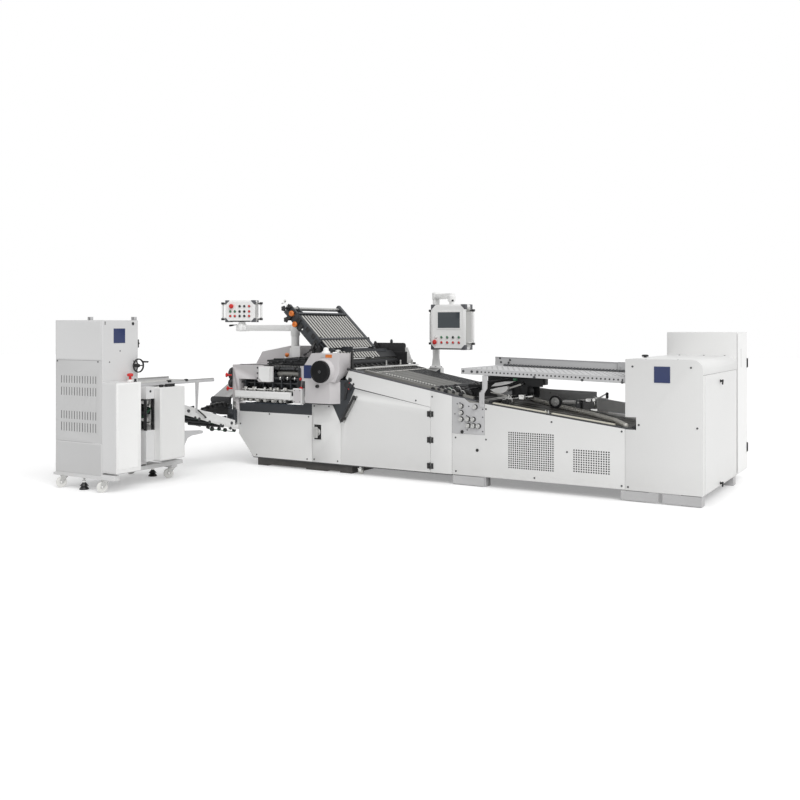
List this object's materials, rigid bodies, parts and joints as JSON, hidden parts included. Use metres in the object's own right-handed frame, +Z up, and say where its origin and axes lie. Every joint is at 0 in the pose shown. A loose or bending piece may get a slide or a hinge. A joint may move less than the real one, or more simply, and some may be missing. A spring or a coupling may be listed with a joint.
{
  "type": "paper folding line",
  "caption": "Floor-standing paper folding line: feeder cabinet, sloping register table, buckle and knife fold units, swinging control boxes and a wheeled press stacker.",
  "frame": {"origin": "centre of the footprint on the floor", "axes": "+X along the line from the delivery end to the feeder end, +Y away from the operator side, +Z up"},
  "size_m": [5.661, 4.0426, 1.9263],
  "materials": {
    "cover_paint": "satin light grey-white",
    "white_paint": "satin white",
    "stacker_grey": "satin light grey",
    "head_grey": "satin warm grey",
    "dark_frame": "matt charcoal",
    "black_paint": "satin black",
    "black_plastic": "matt black",
    "steel": "brushed",
    "ring_chrome": "polished",
    "aluminium": "satin",
    "roller_rubber": "matt",
    "stop_red": "gloss red",
    "caster_white": "matt white"
  },
  "bodies": {
    "line": {"base_plinth": "black_paint", "folder_frame": "dark_frame", "folder_left_panel": "cover_paint", "switch_panel": "cover_paint", "table_side_trim": "cover_paint", "head_cover": "head_grey", "folder_rear_guard": "head_grey", "register_rear_guard": "black_paint", "register_table": "steel", "knife_frame": "head_grey", "knife_rail": "white_paint", "delivery_deck": "steel", "conveyor_frame": "cover_paint", "right_box_post": "white_paint", "feeder_frame": "dark_frame", "feeder_front_panel": "cover_paint", "valve_plate": "head_grey", "feeder_cheek": "cover_paint", "drum_cover": "cover_paint", "feeder_end_cover": "cover_paint", "pump_cabinet": "white_paint", "loading_table": "head_grey", "return_table": "dark_frame", "stacker_body": "stacker_grey", "stacker_louvre_panel": "stacker_grey", "stacker_infeed_box": "white_paint", "stacker_table": "steel"},
    "main_switch": {"main_switch_lever": "black_plastic"},
    "door": {"folder_door": "cover_paint"},
    "drive": {"main_handwheel": "black_plastic", "fold_roller_lower": "steel"},
    "upper_roller": {"fold_roller_upper": "steel"},
    "rack": {"fold_plate_rack": "dark_frame"},
    "knife": {"fold_knife": "aluminium"},
    "knife_roller_a": {"knife_roller_front": "roller_rubber"},
    "knife_roller_b": {"knife_roller_rear": "roller_rubber"},
    "ring_roller_a": {"ring_roller_upper": "ring_chrome"},
    "ring_roller_b": {"ring_roller_lower": "ring_chrome"},
    "conveyor_head_roller": {"conveyor_roller": "roller_rubber"},
    "left_arm": {"left_box_arm": "white_paint"},
    "left_box": {"left_control_box": "white_paint"},
    "left_stop": {"left_stop_button": "stop_red"},
    "right_arm": {"right_box_arm": "white_paint"},
    "right_box": {"right_control_box": "white_paint"},
    "right_stop": {"right_stop_button": "stop_red"},
    "pump_door": {"pump_cabinet_door": "white_paint"},
    "drum": {"turning_drum": "roller_rubber"},
    "suction": {"suction_wheel": "roller_rubber"},
    "press_arm": {"press_wheel_arm": "steel"},
    "press_roller": {"press_wheel": "roller_rubber"},
    "drive_door": {"stacker_drive_door": "white_paint"},
    "crank": {"stacker_handwheel": "black_plastic"},
    "fork_front_left": {"caster_front_left_fork": "steel"},
    "wheel_front_left": {"caster_front_left_wheel": "caster_white"},
    "fork_front_right": {"caster_front_right_fork": "steel"},
    "wheel_front_right": {"caster_front_right_wheel": "caster_white"},
    "fork_rear_right": {"caster_rear_right_fork": "steel"},
    "wheel_rear_right": {"caster_rear_right_wheel": "caster_white"},
    "fork_rear_left": {"caster_rear_left_fork": "steel"},
    "wheel_rear_left": {"caster_rear_left_wheel": "caster_white"}
  },
  "joints": [
    {"name": "main_switch_turn", "type": "hinge", "parent": "line", "child": "main_switch", "pos_m": [-1.1825, 0.09927, 0.42], "axis": [0, -1, 0], "range_deg": [-90, 0]},
    {"name": "folder_door_hinge", "type": "hinge", "parent": "line", "child": "door", "pos_m": [0.1795, 0.10877, 0.4], "axis": [0, 0, 1], "range_deg": [0, 110]},
    {"name": "drive_spin", "type": "hinge", "parent": "line", "child": "drive", "pos_m": [-1.0555, 0.14357, 1.07], "axis": [0, 1, 0], "continuous": true},
    {"name": "upper_roller_spin", "type": "hinge", "parent": "line", "child": "upper_roller", "pos_m": [-1.0555, 0.14357, 1.1403], "axis": [0, 1, 0], "continuous": true},
    {"name": "rack_tilt", "type": "hinge", "parent": "line", "child": "rack", "pos_m": [-1.1565, 0.29827, 1.29], "axis": [0, 1, 0], "range_deg": [0, 40]},
    {"name": "knife_stroke", "type": "slide", "parent": "line", "child": "knife", "axis": [0, 0, -1], "range_m": [0, 0.04]},
    {"name": "knife_roller_front_spin", "type": "hinge", "parent": "line", "child": "knife_roller_a", "pos_m": [-2.2885, 0.25297, 0.78], "axis": [1, 0, 0], "continuous": true},
    {"name": "knife_roller_rear_spin", "type": "hinge", "parent": "line", "child": "knife_roller_b", "pos_m": [-2.2885, 0.31357, 0.78], "axis": [1, 0, 0], "continuous": true},
    {"name": "ring_roller_upper_spin", "type": "hinge", "parent": "line", "child": "ring_roller_a", "pos_m": [-2.2885, 0.16227, 0.84], "axis": [1, 0, 0], "continuous": true},
    {"name": "ring_roller_lower_spin", "type": "hinge", "parent": "line", "child": "ring_roller_b", "pos_m": [-2.2885, 0.16227, 0.7507], "axis": [1, 0, 0], "continuous": true},
    {"name": "conveyor_roller_spin", "type": "hinge", "parent": "line", "child": "conveyor_head_roller", "pos_m": [-2.2885, -0.69773, 0.65631], "axis": [1, 0, 0], "continuous": true},
    {"name": "left_arm_swing", "type": "hinge", "parent": "line", "child": "left_arm", "pos_m": [-1.7435, 0.44327, 0], "axis": [0, 0, 1], "range_deg": [-30, 70]},
    {"name": "left_box_swivel", "type": "hinge", "parent": "left_arm", "child": "left_box", "pos_m": [-2.5235, 0.44327, 1.5633], "axis": [0, 0, 1], "range_deg": [-45, 75]},
    {"name": "left_stop_press", "type": "slide", "parent": "left_box", "child": "left_stop", "axis": [-0.342, 0.9397, 0], "range_m": [0, 0.006], "stiffness_N_per_m": 400},
    {"name": "right_arm_swing", "type": "hinge", "parent": "line", "child": "right_arm", "pos_m": [-0.4975, 1.47497, 0], "axis": [0, 0, 1], "range_deg": [-60, 60]},
    {"name": "right_box_swivel", "type": "hinge", "parent": "right_arm", "child": "right_box", "pos_m": [-0.22718, 1.34487, 1.287], "axis": [0, 0, 1], "range_deg": [-8, 60]},
    {"name": "right_stop_press", "type": "slide", "parent": "right_box", "child": "right_stop", "axis": [0, 1, 0], "range_m": [0, 0.006], "stiffness_N_per_m": 400},
    {"name": "pump_door_hinge", "type": "hinge", "parent": "line", "child": "pump_door", "pos_m": [2.8275, 2.01827, 0.8], "axis": [0, 0, 1], "range_deg": [0, 110]},
    {"name": "drum_spin", "type": "hinge", "parent": "line", "child": "drum", "pos_m": [2.4865, 0.14357, 0.88], "axis": [0, 1, 0], "continuous": true},
    {"name": "suction_wheel_spin", "type": "hinge", "parent": "line", "child": "suction", "pos_m": [0.98731, 0.13327, 0.89651], "axis": [0, 1, 0], "continuous": true},
    {"name": "press_arm_lift", "type": "hinge", "parent": "line", "child": "press_arm", "pos_m": [1.5105, 0.71327, 0.80438], "axis": [0, 1, 0], "range_deg": [0, 35]},
    {"name": "press_wheel_spin", "type": "hinge", "parent": "press_arm", "child": "press_roller", "pos_m": [1.2745, 0.70097, 0.80391], "axis": [0, 1, 0], "continuous": true},
    {"name": "drive_door_hinge", "type": "hinge", "parent": "line", "child": "drive_door", "pos_m": [-1.9715, -1.66373, 0.6], "axis": [0, 0, 1], "range_deg": [0, 110]},
    {"name": "crank_spin", "type": "hinge", "parent": "line", "child": "crank", "pos_m": [-2.1625, -1.55773, 1.167], "axis": [1, 0, 0], "continuous": true},
    {"name": "front_left_swivel", "type": "hinge", "parent": "line", "child": "fork_front_left", "pos_m": [-2.6945, -1.94873, 0], "axis": [0, 0, 1], "continuous": true},
    {"name": "front_left_roll", "type": "hinge", "parent": "fork_front_left", "child": "wheel_front_left", "pos_m": [-2.71464, -1.9736, 0.05], "axis": [0.7771, -0.6293, 0], "continuous": true},
    {"name": "front_right_swivel", "type": "hinge", "parent": "line", "child": "fork_front_right", "pos_m": [-2.1325, -1.94873, 0], "axis": [0, 0, 1], "continuous": true},
    {"name": "front_right_roll", "type": "hinge", "parent": "fork_front_right", "child": "wheel_front_right", "pos_m": [-2.15264, -1.9736, 0.05], "axis": [0.7771, -0.6293, 0], "continuous": true},
    {"name": "rear_right_swivel", "type": "hinge", "parent": "line", "child": "fork_rear_right", "pos_m": [-2.2035, -1.02173, 0], "axis": [0, 0, 1], "continuous": true},
    {"name": "rear_right_roll", "type": "hinge", "parent": "fork_rear_right", "child": "wheel_rear_right", "pos_m": [-2.22364, -1.0466, 0.05], "axis": [0.7771, -0.6293, 0], "continuous": true},
    {"name": "rear_left_swivel", "type": "hinge", "parent": "line", "child": "fork_rear_left", "pos_m": [-2.7455, -1.02173, 0], "axis": [0, 0, 1], "continuous": true},
    {"name": "rear_left_roll", "type": "hinge", "parent": "fork_rear_left", "child": "wheel_rear_left", "pos_m": [-2.76564, -1.0466, 0.05], "axis": [0.7771, -0.6293, 0], "continuous": true}
  ],
  "couplings": [
    {"joint": "upper_roller_spin", "follows": "drive_spin", "ratio": -1},
    {"joint": "knife_roller_rear_spin", "follows": "knife_roller_front_spin", "ratio": -1},
    {"joint": "ring_roller_lower_spin", "follows": "ring_roller_upper_spin", "ratio": -1}
  ]
}
